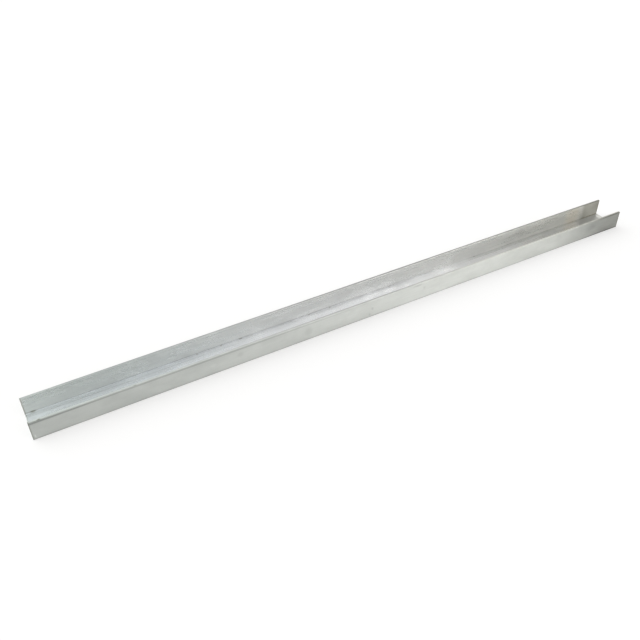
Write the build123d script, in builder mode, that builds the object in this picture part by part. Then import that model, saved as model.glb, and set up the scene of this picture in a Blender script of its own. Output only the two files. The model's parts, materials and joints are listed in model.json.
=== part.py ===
from build123d import *
import os

# One cut length of extruded aluminium U channel, in millimetres.
# It lies on the back of its web with the open side up.
# X runs along the channel, Y across it and Z up.
# The origin is the middle of the underside.

# Driving dimensions
LENGTH = 400.0
WEB_WIDTH = 20.0
FLANGE_HEIGHT = 12.0
WALL = 1.3
ROOT_RADIUS = 0.5
HEEL_RADIUS = 0.35
TIP_RADIUS = 0.2
DEBURR = 0.12

# The clear space between the flanges
INNER_WIDTH = WEB_WIDTH - 2 * WALL
INNER_DEPTH = FLANGE_HEIGHT - WALL

FROM_BELOW = (Align.CENTER, Align.MIN)

with BuildPart() as u_channel:
    with BuildSketch(Plane.YZ.offset(-LENGTH / 2)) as section:
        Rectangle(WEB_WIDTH, FLANGE_HEIGHT, align=FROM_BELOW)
        with Locations((0, WALL)):
            Rectangle(INNER_WIDTH, INNER_DEPTH, align=FROM_BELOW, mode=Mode.SUBTRACT)
        # The die eases every corner: the flange tips most lightly, then the heels, then the roots
        fillet(section.vertices().group_by(Axis.Y)[-1], TIP_RADIUS)
        fillet(section.vertices().group_by(Axis.Y)[1], ROOT_RADIUS)
        fillet(section.vertices().group_by(Axis.Y)[0], HEEL_RADIUS)
    extrude(amount=LENGTH)

    # Both ends are sawn square and deburred all the way round
    sawn_ends = u_channel.faces().filter_by(Axis.X)
    chamfer(sawn_ends.edges(), DEBURR)

u_channel.part.label = "u_channel"
os.makedirs("parts", exist_ok=True)
export_step(u_channel.part, "parts/u_channel.step")
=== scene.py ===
import json
import math

import bmesh
import bpy
from mathutils import Matrix, Vector, noise


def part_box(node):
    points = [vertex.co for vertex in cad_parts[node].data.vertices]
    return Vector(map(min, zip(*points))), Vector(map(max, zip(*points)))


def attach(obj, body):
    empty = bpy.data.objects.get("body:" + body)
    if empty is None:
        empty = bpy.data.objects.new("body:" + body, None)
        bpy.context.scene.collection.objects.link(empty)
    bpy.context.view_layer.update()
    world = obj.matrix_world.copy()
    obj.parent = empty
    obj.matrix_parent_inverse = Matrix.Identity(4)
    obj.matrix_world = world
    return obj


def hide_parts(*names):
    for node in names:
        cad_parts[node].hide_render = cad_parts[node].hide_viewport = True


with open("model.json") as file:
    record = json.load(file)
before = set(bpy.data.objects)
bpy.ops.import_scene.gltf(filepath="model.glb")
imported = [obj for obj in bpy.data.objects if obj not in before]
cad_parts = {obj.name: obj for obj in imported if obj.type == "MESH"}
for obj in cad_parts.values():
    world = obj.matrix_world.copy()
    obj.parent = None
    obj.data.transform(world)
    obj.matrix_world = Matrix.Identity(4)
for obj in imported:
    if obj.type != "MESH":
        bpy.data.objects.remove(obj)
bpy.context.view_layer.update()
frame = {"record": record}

# All lengths are metres. The channel lies along X, its open side is up.
MM = 0.001
low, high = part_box("u_channel")
HALF_LENGTH = (high.x - low.x) / 2
HALF_WIDTH = (high.y - low.y) / 2
HEIGHT = high.z - low.z
WALL = next(m["pos_m"][2] for m in frame["record"]["mounts"] if m["name"] == "web_seat")
INNER_Y = HALF_WIDTH - WALL
ROOT_RADIUS = 0.5 * MM
HEEL_RADIUS = 0.35 * MM
TIP_RADIUS = 0.2 * MM
DEBURR = 0.12 * MM

# The photograph's camera, as a program's fit to the channel's edges gave it
CAMERA_PLACE = (-193.67 * MM, -293.42 * MM, 269.61 * MM)
CAMERA_YAW = math.radians(28.835)
CAMERA_PITCH = math.radians(38.602)
CAMERA_ROLL = math.radians(-0.721)
FOCAL_PIXELS = 728.3
FRAME_PIXELS = 640
SENSOR_WIDTH = 36.0


def make_camera():
    """A camera at the photograph's place, with its lens."""
    data = bpy.data.cameras.new("photo_camera")
    data.sensor_width = SENSOR_WIDTH
    data.lens = SENSOR_WIDTH * FOCAL_PIXELS / FRAME_PIXELS
    data.clip_start = 0.01
    data.clip_end = 50
    camera = bpy.data.objects.new("photo_camera", data)
    bpy.context.scene.collection.objects.link(camera)
    forward = Vector((
        math.sin(CAMERA_YAW) * math.cos(CAMERA_PITCH),
        math.cos(CAMERA_YAW) * math.cos(CAMERA_PITCH),
        -math.sin(CAMERA_PITCH),
    ))
    level_right = Vector((math.cos(CAMERA_YAW), -math.sin(CAMERA_YAW), 0))
    level_up = level_right.cross(forward)
    right = math.cos(CAMERA_ROLL) * level_right + math.sin(CAMERA_ROLL) * level_up
    up = math.cos(CAMERA_ROLL) * level_up - math.sin(CAMERA_ROLL) * level_right
    turn = Matrix((right, up, -forward)).transposed().to_4x4()
    camera.matrix_world = Matrix.Translation(CAMERA_PLACE) @ turn
    bpy.context.scene.camera = camera


def link(mesh, name):
    piece = bpy.data.objects.new(name, mesh)
    bpy.context.scene.collection.objects.link(piece)
    return piece


# Node helpers. An input is a number, a colour, a vector or another node's output.
def add(tree, kind, inputs, **settings):
    """A new node with its settings and inputs. Returns its outputs."""
    node = tree.nodes.new(kind)
    for name, value in settings.items():
        setattr(node, name, value)
    for key, value in inputs.items():
        if isinstance(value, bpy.types.NodeSocket):
            tree.links.new(value, node.inputs[key])
        else:
            node.inputs[key].default_value = value
    return node.outputs


def calc(tree, operation, *values, clamp=False):
    """A Math node's result."""
    return add(tree, "ShaderNodeMath", dict(enumerate(values)), operation=operation, use_clamp=clamp)[0]


def ease(tree, value, start, end, low=0.0, high=1.0):
    """Goes smoothly from low to high as the value goes from start to end."""
    inputs = {"Value": value, "From Min": start, "From Max": end, "To Min": low, "To Max": high}
    return add(tree, "ShaderNodeMapRange", inputs, interpolation_type="SMOOTHSTEP")["Result"]


def mixed(tree, factor, a, b):
    """One colour turning into another."""
    inputs = {0: factor, 6: a, 7: b}
    return add(tree, "ShaderNodeMix", inputs, data_type="RGBA")[2]


# Stage
FLOOR_SIDE = 12.0
FLOOR_COLOUR = (0.418, 0.396, 0.402, 1)
FLOOR_GLOW = 0.40


def glowing(name, colour, glow):
    """A matt material that also gives off white light."""
    material = bpy.data.materials.new(name)
    material.use_nodes = True
    shader = material.node_tree.nodes["Principled BSDF"]
    shader.inputs["Base Color"].default_value = colour
    shader.inputs["Roughness"].default_value = 1.0
    shader.inputs["Specular IOR Level"].default_value = 0.0
    shader.inputs["Emission Color"].default_value = (1, 1, 1, 1)
    shader.inputs["Emission Strength"].default_value = glow
    return material


def make_floor():
    """A plain pale floor, evenly lit through from below as a product table is."""
    mesh = bpy.data.meshes.new("floor")
    half = FLOOR_SIDE / 2
    corners = [(-half, -half, 0), (half, -half, 0), (half, half, 0), (-half, half, 0)]
    mesh.from_pydata(corners, [], [(0, 1, 2, 3)])
    floor = link(mesh, "floor")
    mesh.materials.append(glowing("pale_floor", FLOOR_COLOUR, FLOOR_GLOW))


BACKDROP_RADIUS = 5.5
BACKDROP_SEGMENTS = 64
BLACK = (0, 0, 0, 1)


def make_backdrop():
    """A plain white backdrop all round. Only the camera sees it, so it takes no light away."""
    mesh = bpy.data.meshes.new("backdrop")
    work = bmesh.new()
    bmesh.ops.create_uvsphere(work, u_segments=BACKDROP_SEGMENTS,
                             v_segments=BACKDROP_SEGMENTS // 2, radius=BACKDROP_RADIUS)
    work.to_mesh(mesh)
    work.free()
    backdrop = link(mesh, "backdrop")
    for ray in ("diffuse", "glossy", "transmission", "volume_scatter", "shadow"):
        setattr(backdrop, "visible_" + ray, False)
    mesh.materials.append(glowing("white_backdrop", BLACK, 1.0))


# The studio's light is a soft dome that changes along X. Low in front it is brightest to the right, and
# above and behind it is brightest to the left. Each stop is an X direction, a strength and a tint. The
# stops began as a program's fit to tones along the photographed channel, rounded. About half have been
# changed since then, and the others still lie within a tenth of the fit.
COOL, BLUISH, PLAIN = (0.955, 1.03, 1.0), (0.95, 1.01, 1.03), (1.01, 1.0, 1.0)
CREAM, WARM = (1.02, 1.0, 0.97), (1.05, 1.02, 0.88)
LIGHT_LOW = [
    (-0.6, 1.0, COOL), (-0.2, 0.4, COOL), (0.05, 0.2, BLUISH), (0.2, 0.8, BLUISH),
    (0.3, 1.3, PLAIN), (0.42, 2.4, PLAIN), (0.5, 4.0, PLAIN), (0.58, 6.2, PLAIN),
    (0.62, 4.0, CREAM), (0.655, 0.6, WARM), (1.0, 1.05, CREAM),
]
LIGHT_IN_FRONT = [
    (-0.6, 1.6, COOL), (-0.2, 1.0, COOL), (0.05, 0.75, BLUISH), (0.2, 1.4, BLUISH),
    (0.3, 1.75, PLAIN), (0.42, 1.9, PLAIN), (0.54, 2.9, CREAM), (0.57, 2.1, CREAM),
    (0.61, 0.7, WARM), (0.76, 0.5, WARM), (1.0, 1.05, CREAM),
]
LIGHT_ABOVE = [
    (-0.6, 2.5, COOL), (-0.2, 2.1, COOL), (0.05, 1.55, COOL), (0.16, 1.5, BLUISH),
    (0.26, 1.76, PLAIN), (0.4, 1.16, PLAIN), (0.48, 1.2, PLAIN), (0.545, 1.4, CREAM),
    (0.6, 0.45, WARM), (0.76, 0.35, WARM), (1.0, 1.05, CREAM),
]
LIGHT_BEHIND = [
    (-0.6, 2.5, COOL), (-0.2, 2.0, COOL), (0.05, 1.0, COOL), (0.16, 1.0, BLUISH),
    (0.26, 1.12, PLAIN), (0.4, 0.76, PLAIN), (0.48, 0.77, PLAIN), (0.545, 0.95, CREAM),
    (0.6, 0.8, CREAM), (0.76, 0.75, WARM), (1.0, 1.05, CREAM),
]
# Angles about X from the horizon in front, up and over to the horizon behind
LOW_ANGLE, FRONT_ANGLE, ABOVE_ANGLE, BEHIND_ANGLE = (math.radians(a) for a in (8, 40, 85, 150))


def light_ramp(tree, place, stops):
    """A colour ramp over an X direction from -1 to 1."""
    node = tree.nodes.new("ShaderNodeValToRGB")
    tree.links.new(place, node.inputs["Fac"])
    ramp = node.color_ramp
    ramp.interpolation = "EASE"
    while len(ramp.elements) < len(stops):
        ramp.elements.new(0.5)
    for element, (x, strength, tint) in zip(ramp.elements, stops):
        element.position = (x + 1) / 2
        element.color = [strength * c for c in tint] + [1]
    return node.outputs["Color"]


def make_world():
    """Soft studio light from all round, brighter in some directions."""
    world = bpy.data.worlds.new("studio")
    bpy.context.scene.world = world
    world.use_nodes = True
    tree = world.node_tree
    direction = add(tree, "ShaderNodeTexCoord", {})["Generated"]
    x, y, z = add(tree, "ShaderNodeSeparateXYZ", {"Vector": direction})
    place = calc(tree, "MULTIPLY_ADD", x, 0.5, 0.5)
    angle = calc(tree, "ARCTAN2", z, calc(tree, "MULTIPLY", y, -1.0))
    colour = light_ramp(tree, place, LIGHT_LOW)
    steps = ((LOW_ANGLE, FRONT_ANGLE, LIGHT_IN_FRONT), (FRONT_ANGLE, ABOVE_ANGLE, LIGHT_ABOVE),
             (ABOVE_ANGLE, BEHIND_ANGLE, LIGHT_BEHIND))
    for start, end, stops in steps:
        colour = mixed(tree, ease(tree, angle, start, end), colour, light_ramp(tree, place, stops))
    tree.links.new(colour, tree.nodes["Background"].inputs["Color"])


# The channel's mesh: an outer and an inner path round the section, with paired points
TIP_STEPS = 3
CORNER_STRAIGHT_STEPS = 3
HEEL_STEPS = 5
FLANK_STEPS = 42
WEB_STEPS = 56
SUPPORT = 0.06 * MM


def arc(centre, radius, start, end, steps):
    """Points on an arc in the section, from one angle to another, in degrees."""
    points = []
    for i in range(steps + 1):
        angle = math.radians(start + (end - start) * i / steps)
        points.append((centre[0] + radius * math.cos(angle), centre[1] + radius * math.sin(angle)))
    return points


def spaced(a, b, steps):
    """Points from a to b, with a support point close to each end."""
    run = math.dist(a, b)
    stops = [0, SUPPORT / run] + [i / steps for i in range(1, steps)] + [1 - SUPPORT / run, 1]
    return [(a[0] + (b[0] - a[0]) * s, a[1] + (b[1] - a[1]) * s) for s in stops]


def joined(*runs):
    """One list of points from runs that share their end points."""
    points = list(runs[0])
    for run in runs[1:]:
        points += run[1:]
    return points


def half_paths():
    """The outer and inner paths of the -Y flange and its corner, from the tip's middle to the web."""
    outer_y, inner_y = -HALF_WIDTH, -INNER_Y
    root_z = WALL + ROOT_RADIUS
    tip_mid = ((outer_y + inner_y) / 2, HEIGHT)
    tip_flat_outer = (outer_y + TIP_RADIUS, HEIGHT)
    tip_flat_inner = (inner_y - TIP_RADIUS, HEIGHT)
    tip_outer = arc((outer_y + TIP_RADIUS, HEIGHT - TIP_RADIUS), TIP_RADIUS, 90, 180, TIP_STEPS)
    tip_inner = arc((inner_y - TIP_RADIUS, HEIGHT - TIP_RADIUS), TIP_RADIUS, 90, 0, TIP_STEPS)
    flank_outer = spaced((outer_y, HEIGHT - TIP_RADIUS), (outer_y, root_z), FLANK_STEPS)
    flank_inner = spaced((inner_y, HEIGHT - TIP_RADIUS), (inner_y, root_z), FLANK_STEPS)
    web_start = inner_y + ROOT_RADIUS
    heel_side = spaced((outer_y, root_z), (outer_y, HEEL_RADIUS), CORNER_STRAIGHT_STEPS)
    heel = arc((outer_y + HEEL_RADIUS, HEEL_RADIUS), HEEL_RADIUS, 180, 270, HEEL_STEPS)
    heel_under = spaced((outer_y + HEEL_RADIUS, 0), (web_start, 0), CORNER_STRAIGHT_STEPS)
    corner_outer = joined(heel_side, heel, heel_under)
    corner_inner = arc((web_start, root_z), ROOT_RADIUS, 180, 270, len(corner_outer) - 1)
    outer = joined([tip_mid, tip_flat_outer], tip_outer, flank_outer, corner_outer)
    inner = joined([tip_mid, tip_flat_inner], tip_inner, flank_inner, corner_inner)
    return outer, inner


def section_paths():
    """The whole outer and inner paths, from the middle of one tip to the middle of the other."""
    outer, inner = half_paths()
    start_y = -INNER_Y + ROOT_RADIUS
    under = spaced((start_y, 0), (-start_y, 0), WEB_STEPS)
    over = spaced((start_y, WALL), (-start_y, WALL), WEB_STEPS)
    far_outer = [(-y, z) for y, z in reversed(outer)]
    far_inner = [(-y, z) for y, z in reversed(inner)]
    return joined(outer, under, far_outer), joined(inner, over, far_inner)


# Stations along X
NEAR_END = [DEBURR, 0.3 * MM, 0.6 * MM] + [i * MM for i in range(1, 12)]
MIDDLE_START = 12 * MM
MIDDLE_STEPS = 200


def stations():
    """Where the section stands along X: closer together near the sawn ends."""
    first, last = -HALF_LENGTH + MIDDLE_START, HALF_LENGTH - MIDDLE_START
    middle = [first + (last - first) * i / MIDDLE_STEPS for i in range(MIDDLE_STEPS + 1)]
    left = [-HALF_LENGTH] + [-HALF_LENGTH + d for d in NEAR_END]
    right = [-x for x in reversed(left)]
    return left + middle + right


# Relief that the die and handling leave, as heights off the true face
LINE_HEIGHT = 0.007 * MM
LINE_PITCH = 0.55 * MM
BAND_HEIGHT = 0.008 * MM
BAND_PITCH = 2.3 * MM
WAVE_HEIGHT = 0.02 * MM
WAVE_LENGTH = 60 * MM
WAVE_PITCH = 12 * MM
LINE_FADE = 120 * MM

# Deeper scores in the die lines, in millimetres: place round the section, from and to along X, depth
SCORES = [
    (3.1, -200, -40, 0.020), (8.4, -120, 200, 0.016), (16.2, -60, 110, 0.018), (24.7, -200, 200, 0.015),
    (36.9, -150, 90, 0.018), (48.2, -200, 20, 0.022), (54.1, -30, 200, 0.015), (61.9, -200, 150, 0.020),
    (68.3, 10, 200, 0.018), (78.5, -90, 200, 0.016),
]
SCORE_WIDTH = 0.3 * MM
SCORE_FADE = 12 * MM

# Each noise is a layer of one solid noise, at its own height
FADE_LAYER, LINE_LAYER, BAND_LAYER, WAVE_LAYER = 3.3, 7.7, 11.1, 19.9
SAW_LAYER, EDGE_LAYER = 5.5, 2.2


def relief(x, round_place):
    """How far the skin stands off the true face at a place along X and round the section."""
    fade = 0.75 + 0.5 * noise.noise(Vector((x / LINE_FADE, round_place / BAND_PITCH, FADE_LAYER)))
    lines = noise.noise(Vector((x / LINE_FADE, round_place / LINE_PITCH, LINE_LAYER)))
    bands = noise.noise(Vector((x / LINE_FADE, round_place / BAND_PITCH, BAND_LAYER)))
    wave = noise.noise(Vector((x / WAVE_LENGTH, round_place / WAVE_PITCH, WAVE_LAYER)))
    rise = LINE_HEIGHT * lines * fade + BAND_HEIGHT * bands + WAVE_HEIGHT * wave
    for place, start, end, depth in SCORES:
        across = abs(round_place - place * MM) / SCORE_WIDTH
        if across < 1:
            inside = min(x - start * MM, end * MM - x) / SCORE_FADE
            rise -= depth * MM * (1 - across) * min(max(inside, 0), 1)
    return rise


# The near flange's tip is rubbed down a little at its left end
RUB_END = -194.5 * MM
RUB_DEPTH = 0.12 * MM
RUB_BLEND = 2.0 * MM


def rubbed(x, y, z):
    """How far the near flange's tip is worn down at a place."""
    if y > -INNER_Y + TIP_RADIUS or z < HEIGHT - TIP_RADIUS:
        return 0
    return RUB_DEPTH * min(max((RUB_END - x) / RUB_BLEND, 0), 1)


# Saw marks on the ends, as long arcs of the blade, and unevenness of the deburred edge
SAW_PITCH = 0.9 * MM
SAW_DEPTH = 0.012 * MM
SAW_RADIUS = 125 * MM
SAW_CENTRE = (60 * MM, 115 * MM)
SAW_WANDER = 0.4
DEBURR_UNEVEN = 0.04 * MM
END_ROWS = 8


def saw_marks(y, z):
    """How deep the blade's arcs are cut into an end."""
    reach = math.dist((y, z), SAW_CENTRE) - SAW_RADIUS
    wander = SAW_WANDER * noise.noise(Vector((y / MM, z / MM, SAW_LAYER)))
    return SAW_DEPTH * (0.5 + 0.5 * math.sin(2 * math.pi * reach / SAW_PITCH + wander))


def round_places(loop):
    """Each point's place round the section, in metres from the first."""
    places = [0.0]
    for a, b in zip(loop, loop[1:]):
        places.append(places[-1] + math.dist(a, b))
    return places


def outward(loop, i):
    """The section's outward direction at a point of its loop."""
    before, after = loop[i - 1], loop[(i + 1) % len(loop)]
    along = Vector((after[0] - before[0], after[1] - before[1])).normalized()
    return Vector((along.y, -along.x))


# The unrolled map: two strips hold the skin's left and right halves, and the ends lie above them
MAP_NAME = "OFBake"
MAP_EDGE = 0.006
STRIP_HEIGHT = 0.418
STRIP_STARTS = (0.006, 0.430)
END_STARTS = ((0.02, 0.86), (0.52, 0.86))
END_SCALE = 0.0104 / MM
LEAST_STEP = 0.25 * MM


def unrolled(stops):
    """Running places from 0 to 1 along a row of stops, with no gap too narrow to bake."""
    places = [0.0]
    for a, b in zip(stops, stops[1:]):
        places.append(places[-1] + max(b - a, LEAST_STEP))
    return [p / places[-1] for p in places]


def make_channel():
    """The channel's skin and sawn ends as one closed mesh, with its map and its finish attributes."""
    outer, inner = section_paths()
    loop = outer + list(reversed(inner[1:-1]))
    count = len(loop)
    places = round_places(loop)
    ways = [outward(loop, i) for i in range(count)]
    along = stations()
    work = bmesh.new()
    unroll = work.loops.layers.uv.new(MAP_NAME)
    inside_layer = work.verts.layers.float.new("inside")
    tip_layer = work.verts.layers.float.new("tip")
    sawn_layer = work.verts.layers.float.new("sawn")

    rings = []
    for x in along:
        at_end = abs(abs(x) - HALF_LENGTH) < 1e-9
        ring = []
        for i, (y, z) in enumerate(loop):
            rise = relief(x, places[i])
            if at_end:
                uneven = noise.noise(Vector((places[i] / MM, x / MM, EDGE_LAYER)))
                rise -= DEBURR + DEBURR_UNEVEN * uneven
            level = max(z + ways[i].y * rise - rubbed(x, y, z), 0.0)
            vert = work.verts.new((x, y + ways[i].x * rise, level))
            vert[inside_layer] = 1.0 if i >= len(outer) else 0.0
            vert[tip_layer] = 1.0 if z > HEIGHT - TIP_RADIUS / 2 else 0.0
            ring.append(vert)
        rings.append(ring)

    middle = len(along) // 2
    halves = (unrolled(along[:middle + 1]), unrolled(along[middle:]))
    shares = unrolled(places + [places[-1] + math.dist(loop[-1], loop[0])])
    for r in range(len(rings) - 1):
        half = 0 if r < middle else 1
        u_places = halves[half]
        r_map = r - half * middle
        for i in range(count):
            j = (i + 1) % count
            face = work.faces.new((rings[r][i], rings[r][j], rings[r + 1][j], rings[r + 1][i]))
            corners = ((r_map, i), (r_map, i + 1), (r_map + 1, i + 1), (r_map + 1, i))
            for corner, (a, b) in zip(face.loops, corners):
                u = MAP_EDGE + (1 - 2 * MAP_EDGE) * u_places[a]
                corner[unroll].uv = (u, STRIP_STARTS[half] + STRIP_HEIGHT * shares[b])

    for end, ring in ((0, rings[0]), (1, rings[-1])):
        close_end(work, ring, len(outer), end, unroll, sawn_layer)
    bmesh.ops.recalc_face_normals(work, faces=work.faces)
    for face in work.faces:
        face.smooth = True
    mesh = bpy.data.meshes.new("u_channel_extrusion")
    work.to_mesh(mesh)
    work.free()
    return link(mesh, "u_channel_extrusion")


def close_end(work, ring, pairs, end, unroll, sawn_layer):
    """A sawn end: rows of small faces from the outer to the inner path, with saw marks."""
    side = 1 if end else -1
    grid = []
    for k in range(1, pairs - 1):
        first, last = ring[k], ring[len(ring) - k]
        row = [first]
        for step in range(1, END_ROWS):
            place = first.co.lerp(last.co, step / END_ROWS)
            place.x -= side * saw_marks(place.y, place.z)
            vert = work.verts.new(place)
            vert[sawn_layer] = 1.0
            row.append(vert)
        row.append(last)
        grid.append(row)
    faces = []
    for row, after in zip(grid, grid[1:]):
        for k in range(END_ROWS):
            faces.append(work.faces.new((row[k], after[k], after[k + 1], row[k + 1])))
    for tip, row in ((ring[0], grid[0]), (ring[pairs - 1], grid[-1])):
        for k in range(END_ROWS):
            faces.append(work.faces.new((tip, row[k], row[k + 1])))
    start = END_STARTS[end]
    for face in faces:
        for corner in face.loops:
            y, z = corner.vert.co.y, corner.vert.co.z
            corner[unroll].uv = (start[0] + (y + HALF_WIDTH) * END_SCALE, start[1] + z * END_SCALE)


# Marks in the metal's tone, in millimetres: centre, reach, strength. A mark is a soft ellipsoid. Small
# ones are what handling left. Broad ones are painted shade, painted highlights and painted reflections
# that bring the tone along a face to that in the photograph.
DARK_MARKS_AND_PAINTED_SHADE = [
    ((-87.5, -10.0, 7.1), (3.0, 1, 2.2), 0.10),
    ((-45.2, -10.0, 6.0), (3.4, 1, 4.5), 0.09),
    ((-2.1, -10.0, 5.8), (1.1, 1, 1.5), 0.16),
    ((-4.0, -10.0, 2.1), (1.0, 1, 1.3), 0.14),
    ((30.3, -10.0, 10.7), (5.0, 1, 0.9), 0.22),
    ((35.3, -10.0, 7.6), (1.3, 1, 1.6), 0.12),
    ((145.2, -10.0, 7.8), (6.0, 1, 4.0), 0.06),
    ((174.0, -10.0, 7.6), (7.0, 1, 3.5), 0.08),
    # From here on, painted shade: dark lines under the near flange's top edge and along its foot, darker
    # right ends, darker tips and broad darker areas.
    ((206.0, -10.0, 6.0), (66.0, 1, 45.0), 0.42),
    ((193.0, -10.0, 11.7), (18.0, 1, 0.9), 0.28),
    ((190.0, -10.0, 0.2), (40.0, 1, 1.1), 0.25),
    ((204.0, 8.7, 9.0), (15.0, 1, 9.0), 0.42),
    ((-110.0, -10.0, 10.95), (130.0, 0.8, 0.8), 0.24),
    ((-196.0, -10.0, 10.9), (50.0, 0.8, 0.9), 0.30),
    ((0.0, -10.0, 0.3), (420.0, 0.8, 0.9), 0.20),
    ((-200.0, -10.0, 6.0), (45.0, 0.8, 14.0), 0.04),
    ((-20.0, -9.35, 12.0), (95.0, 1.2, 0.6), 0.10),
    ((0.0, 9.35, 12.0), (400.0, 1.2, 0.6), 0.34),
    ((165.0, 8.7, 1.6), (60.0, 1.1, 1.2), 0.10),
]
PALE_MARKS_AND_PAINTED_HIGHLIGHTS = [
    ((-103.5, -10.0, 6.2), (2.6, 1, 1.6), 0.07),
    ((-19.0, -10.0, 9.4), (3.0, 1, 1.2), 0.06),
    ((-198.5, -10.0, 2.3), (0.5, 1, 1.6), 0.26),
    # From here on, painted highlights and reflections: broad paler areas on both flanges and the web, a
    # paler near tip at the right, and the web's bright right end, which is a painted reflection of the
    # far flange's end.
    ((-70.0, 8.7, 10.8), (130.0, 1, 5.5), 0.08),
    ((120.0, 8.7, 6.5), (90.0, 1, 30.0), 0.12),
    ((72.0, -10.0, 6.0), (80.0, 1, 60.0), 0.05),
    ((160.0, 8.7, 8.0), (34.0, 1, 14.0), 0.15),
    ((198.6, 4.5, 1.3), (2.6, 3.5, 0.5), 0.50),
    ((-200.0, 5.0, 1.3), (30.0, 6.0, 0.5), 0.14),
    ((-186.0, 5.0, 1.3), (90.0, 6.0, 0.5), 0.03),
    ((150.0, -9.35, 12.0), (110.0, 1.2, 0.6), 0.42),
]
# Long darker bands along the web. The narrow one at 6.1 mm is a darker stripe. The others are painted
# shade that sets the web's tone, and the one in the far root darkens its fillet's highlight.
DARK_WEB_BANDS_AND_PAINTED_SHADE = [
    ((-130.0, 6.1, 1.3), (100.0, 0.8, 0.4), 0.10),
    ((-70.0, 8.5, 1.5), (210.0, 0.9, 0.8), 0.24),
    ((60.0, 7.8, 1.3), (130.0, 2.8, 0.5), 0.09),
    ((160.0, 3.2, 1.3), (50.0, 3.2, 0.5), 0.12),
    ((120.0, 5.0, 1.3), (85.0, 9.0, 0.5), 0.17),
]
# Dirt, a brownish tint and painted shade
DIRT_AND_PAINTED_SHADE_MARKS = [
    # The first four are painted shade: along the near flange's foot at the left end, in the far root at
    # the left end, and over the near flange's right end.
    ((-192.0, -10.0, 0.3), (50.0, 0.8, 0.8), 0.16),
    ((-198.5, 8.7, 2.0), (5.5, 0.9, 0.7), 0.22),
    ((206.0, -10.0, 5.0), (40.0, 1, 40.0), 0.20),
    ((-195.8, 8.7, 1.75), (2.3, 0.9, 0.75), 0.80),
    # The last three are dirt and wear on the near flange's tip.
    ((-194.7, -10.0, 12.0), (1.4, 0.8, 0.6), 0.80),
    ((-198.0, -9.9, 11.9), (4.0, 0.5, 0.4), 0.30),
    ((-146.2, -9.9, 11.8), (1.6, 0.5, 0.5), 0.35),
]


# The far flange's inside has a painted brownish shade at its right end, which also raises its roughness:
# from the first X on, fully by the second
SHADED_END = (181.5, 187.0)
END_SHADE = 0.85
# Beside it lies a small beige patch, a painted warm highlight
BEIGE_HIGHLIGHT_MARKS = [((175.5, 8.7, 6.5), (10.0, 1, 12.0), 0.90)]


# A mark has its full strength out to this share of its reach
MARK_CORE = 0.25


def mark_mask(tree, place, marks):
    """The sum of soft ellipsoids, each with its strength."""
    total = 0.0
    for centre, reach, strength in marks:
        scale = [1 / r for r in reach]
        shift = [-c * s for c, s in zip(centre, scale)]
        inputs = {"Vector": place, "Location": shift, "Scale": scale}
        local = add(tree, "ShaderNodeMapping", inputs)[0]
        away = add(tree, "ShaderNodeVectorMath", {0: local}, operation="LENGTH")["Value"]
        total = calc(tree, "ADD", total, ease(tree, away, MARK_CORE, 1.0, strength, 0.0))
    return total


def streaks(tree, place, stretch, detail=3.0, roughness=0.55):
    """Noise drawn out along X or in whatever way the stretch says."""
    drawn = add(tree, "ShaderNodeMapping", {"Vector": place, "Scale": stretch})[0]
    inputs = {"Vector": drawn, "Scale": 1.0, "Detail": detail, "Roughness": roughness}
    return add(tree, "ShaderNodeTexNoise", inputs)["Fac"]


# One aluminium all over. Its faces' colours are set apart to stand in for the light each shows: the
# outside darker and the inside paler, and the web's bluish tint is a painted reflection. The tips are
# darker.
OUTER_COLOUR = (0.544, 0.559, 0.535, 1)
INNER_COLOUR = (0.724, 0.724, 0.704, 1)
WEB_COLOUR = (0.662, 0.676, 0.698, 1)
TIP_COLOUR = (0.52, 0.526, 0.516, 1)
SAWN_COLOUR = (0.60, 0.60, 0.592, 1)
# A beige for a painted warm highlight, and a dark brownish colour for dirt and for painted shade
BEIGE_HIGHLIGHT_COLOUR = (0.78, 0.738, 0.668, 1)
SOIL_AND_SHADE_COLOUR = (0.162, 0.155, 0.112, 1)
OUTER_ROUGHNESS = 0.44
INNER_ROUGHNESS = 0.30
ANISOTROPY = 0.88

# Noise waves per millimetre along X, Y and Z
CLOUD_SCALE = (0.05, 0.12, 0.12)
LINE_SCALE = (0.012, 3.2, 3.2)
FINE_LINE_SCALE = (0.05, 14.0, 14.0)
MOTTLE_SCALE = (0.18, 0.35, 0.35)
SPECKLE_SCALE = (1.6, 1.6, 1.6)
DASH_SCALE = (0.42, 0.6, 0.6)

# How far each noise moves the tone and the roughness, up and down
CLOUD_TONE, LINE_TONE, MOTTLE_TONE, SPECKLE_TONE = 0.045, 0.035, 0.014, 0.02
LINE_ROUGHNESS, CLOUD_ROUGHNESS = 0.05, 0.04
NOISE_LOW, NOISE_HIGH = 0.3, 0.7
SPECKLE_LOW, SPECKLE_HIGH = 0.25, 0.75

# How much of the dark brownish colour the dirt and painted shade and a sawn edge's darkening bring, and
# what it adds to the roughness
DIRT_AND_SHADE_SOIL, CUT_EDGE_DARKNESS = 0.75, 0.55
SOIL_AND_SHADE_ROUGHNESS = 0.25

# The bump that the two line noises make together
LINE_BUMP, FINE_LINE_BUMP = 0.6, 0.4
BUMP_STRENGTH = 0.5
BUMP_DEPTH = 0.012 * MM

# Pairs of millimetres between which something fades in or out. The first two are distances, from a sawn
# end and from the far root, and the others are places.
CUT_FADE = (0.2, 0.8)
ROOT_FADE = (0.2, 0.7)
DASHES_START = (-130.0, -100.0)
UNBROKEN_START = (40.0, 110.0)
FAR_FLANGE = (8.2, 8.6)
WEB_TOP = (WALL / MM + 0.2, WALL / MM + 0.5)

# The far root's darkening: how far in from both faces it is centred, where dashes part, and the strength
# of its unbroken painted shade line
ROOT_INSET = 0.1
DASH_NOISE = (0.56, 0.68)
UNBROKEN_ROOT_SHADE = 0.36


def swing(tree, value, amount, low=NOISE_LOW, high=NOISE_HIGH):
    """Noise as a change from -amount to amount."""
    return ease(tree, value, low, high, -amount, amount)


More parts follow.
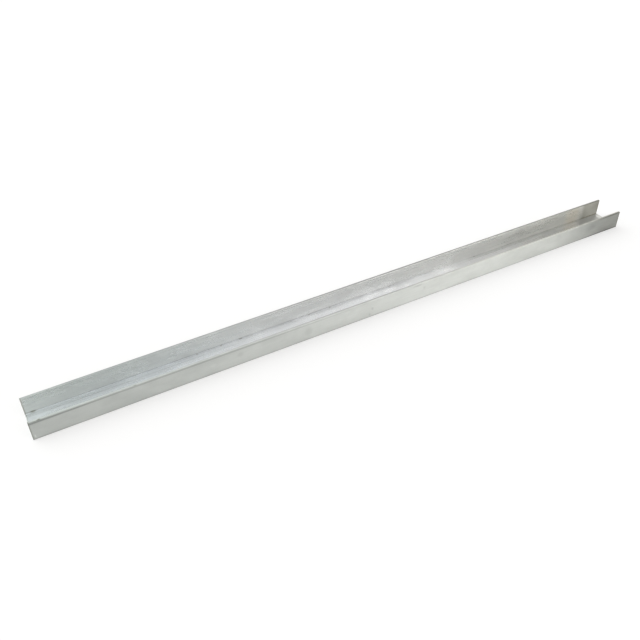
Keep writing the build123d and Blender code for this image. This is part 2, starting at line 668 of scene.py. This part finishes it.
def make_aluminium():
    """Mill-finish aluminium: die lines along X, cloudy tone, marks, dirt, painted shade and highlights,
    darkening in the far root, sawn ends.
    """
    material = bpy.data.materials.new("mill_aluminium")
    material.use_nodes = True
    tree = material.node_tree
    shader = tree.nodes["Principled BSDF"]
    metres = add(tree, "ShaderNodeTexCoord", {})["Object"]
    scaled = add(tree, "ShaderNodeVectorMath", {0: metres, 3: 1 / MM}, operation="SCALE")
    place = scaled["Vector"]
    x, y, z = add(tree, "ShaderNodeSeparateXYZ", {"Vector": place})
    inside = add(tree, "ShaderNodeAttribute", {}, attribute_name="inside")["Fac"]
    tip = add(tree, "ShaderNodeAttribute", {}, attribute_name="tip")["Fac"]
    sawn = add(tree, "ShaderNodeAttribute", {}, attribute_name="sawn")["Fac"]
    skin = calc(tree, "SUBTRACT", 1.0, sawn)

    clouds = streaks(tree, place, CLOUD_SCALE)
    lines = streaks(tree, place, LINE_SCALE, detail=4.0)
    fine_lines = streaks(tree, place, FINE_LINE_SCALE, detail=2.0)
    mottle = streaks(tree, place, MOTTLE_SCALE)
    speckle = streaks(tree, place, SPECKLE_SCALE, detail=2.0)

    # How near a place is to a sawn end and to the far root
    from_end = calc(tree, "SUBTRACT", HALF_LENGTH / MM, calc(tree, "ABSOLUTE", x))
    cut = calc(tree, "MULTIPLY", ease(tree, from_end, *CUT_FADE, 1.0, 0.0), skin)
    across = calc(tree, "SUBTRACT", y, INNER_Y / MM - ROOT_INSET)
    above = calc(tree, "SUBTRACT", z, WALL / MM + ROOT_INSET)
    squares = calc(tree, "ADD", calc(tree, "POWER", across, 2.0), calc(tree, "POWER", above, 2.0))
    to_root = calc(tree, "SQRT", squares)
    near_root = ease(tree, to_root, *ROOT_FADE, 1.0, 0.0)

    # The far root is darker: dark dashes in the middle, and to the right an unbroken line of painted
    # shade in the corner
    dashes = streaks(tree, place, DASH_SCALE, detail=4.0)
    broken = ease(tree, dashes, *DASH_NOISE)
    middle_part = calc(tree, "MULTIPLY", ease(tree, x, *DASHES_START), broken)
    right_part = ease(tree, x, *UNBROKEN_START, 0.0, UNBROKEN_ROOT_SHADE)
    dirt_and_shade = calc(tree, "MULTIPLY", near_root, calc(tree, "MAXIMUM", middle_part, right_part))
    dirt_and_shade = calc(tree, "ADD", dirt_and_shade, mark_mask(tree, place, DIRT_AND_PAINTED_SHADE_MARKS))
    far_inside = calc(tree, "MULTIPLY", inside, ease(tree, y, *FAR_FLANGE))
    shaded_end = calc(tree, "MULTIPLY", ease(tree, x, *SHADED_END, 0.0, END_SHADE), far_inside)
    dirt_and_shade = calc(tree, "MULTIPLY", calc(tree, "ADD", dirt_and_shade, shaded_end), skin)

    base = mixed(tree, inside, OUTER_COLOUR, INNER_COLOUR)
    on_web = calc(tree, "MULTIPLY", inside, ease(tree, z, *WEB_TOP, 1.0, 0.0))
    base = mixed(tree, on_web, base, WEB_COLOUR)
    base = mixed(tree, mark_mask(tree, place, BEIGE_HIGHLIGHT_MARKS), base, BEIGE_HIGHLIGHT_COLOUR)
    base = mixed(tree, tip, base, TIP_COLOUR)
    base = mixed(tree, sawn, base, SAWN_COLOUR)
    tone = calc(tree, "ADD", swing(tree, clouds, CLOUD_TONE), swing(tree, lines, LINE_TONE))
    tone = calc(tree, "ADD", tone, swing(tree, mottle, MOTTLE_TONE))
    tone = calc(tree, "ADD", tone, swing(tree, speckle, SPECKLE_TONE, SPECKLE_LOW, SPECKLE_HIGH))
    tone = calc(tree, "ADD", tone, mark_mask(tree, place, PALE_MARKS_AND_PAINTED_HIGHLIGHTS))
    tone = calc(tree, "SUBTRACT", tone, mark_mask(tree, place, DARK_MARKS_AND_PAINTED_SHADE))
    tone = calc(tree, "SUBTRACT", tone, mark_mask(tree, place, DARK_WEB_BANDS_AND_PAINTED_SHADE))
    bright = calc(tree, "ADD", tone, 1.0)
    toned = add(tree, "ShaderNodeVectorMath", {0: base, 3: bright}, operation="SCALE")["Vector"]
    dirt_and_shade_soil = calc(tree, "MULTIPLY", dirt_and_shade, DIRT_AND_SHADE_SOIL)
    soil_and_shade = calc(tree, "ADD", dirt_and_shade_soil, calc(tree, "MULTIPLY", cut, CUT_EDGE_DARKNESS), clamp=True)
    tree.links.new(mixed(tree, soil_and_shade, toned, SOIL_AND_SHADE_COLOUR), shader.inputs["Base Color"])

    finish = ease(tree, inside, 0.0, 1.0, OUTER_ROUGHNESS, INNER_ROUGHNESS)
    finish = calc(tree, "ADD", finish, swing(tree, lines, LINE_ROUGHNESS))
    finish = calc(tree, "ADD", finish, swing(tree, clouds, -CLOUD_ROUGHNESS))
    finish = calc(tree, "ADD", finish, calc(tree, "MULTIPLY", soil_and_shade, SOIL_AND_SHADE_ROUGHNESS), clamp=True)
    tree.links.new(finish, shader.inputs["Roughness"])

    coarse = calc(tree, "MULTIPLY", lines, LINE_BUMP)
    height = calc(tree, "ADD", coarse, calc(tree, "MULTIPLY", fine_lines, FINE_LINE_BUMP))
    bump_inputs = {"Height": height, "Strength": BUMP_STRENGTH, "Distance": BUMP_DEPTH}
    bump = add(tree, "ShaderNodeBump", bump_inputs)["Normal"]
    tree.links.new(bump, shader.inputs["Normal"])
    tangent = add(tree, "ShaderNodeTangent", {}, direction_type="RADIAL", axis="X")["Tangent"]
    tree.links.new(tangent, shader.inputs["Tangent"])
    shader.inputs["Metallic"].default_value = 1.0
    shader.inputs["Anisotropic"].default_value = ANISOTROPY
    return material


make_camera()
make_floor()
make_backdrop()
make_world()
channel = make_channel()
channel.data.materials.append(make_aluminium())
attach(channel, "root")
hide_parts("u_channel")
bpy.context.scene.view_settings.view_transform = "Standard"
